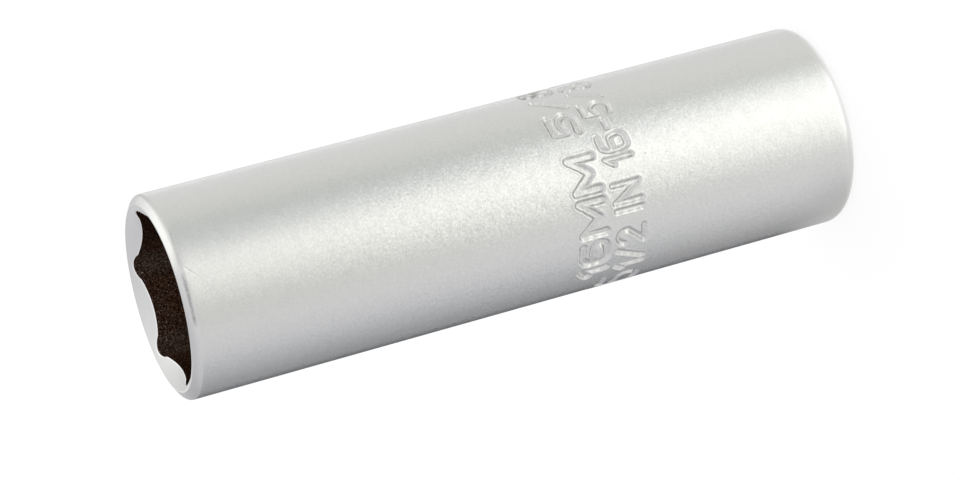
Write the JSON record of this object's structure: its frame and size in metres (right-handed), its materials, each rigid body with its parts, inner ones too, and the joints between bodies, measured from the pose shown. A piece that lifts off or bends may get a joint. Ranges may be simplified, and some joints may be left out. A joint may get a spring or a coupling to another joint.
{
  "type": "spark plug socket",
  "caption": "Deep round steel socket with a hexagonal plug mouth at one end, a square drive hole at the other and a rubber sleeve inside that grips the plug.",
  "frame": {"origin": "centre of the drive end's face, on the axis, at the lowest point of the standing socket", "axes": "+Z along the axis from the drive end to the plug mouth; +X square to a flat of the hexagon and to a flat of the drive square"},
  "size_m": [0.0216, 0.0216, 0.075],
  "materials": {
    "satin_chrome": "satin chrome plate with a fine pearly grain, dark inside the mouth",
    "insert_rubber": "matte moulded rubber"
  },
  "bodies": {
    "root": {"socket_body": "satin_chrome", "rubber_insert": "insert_rubber"}
  },
  "joints": []
}
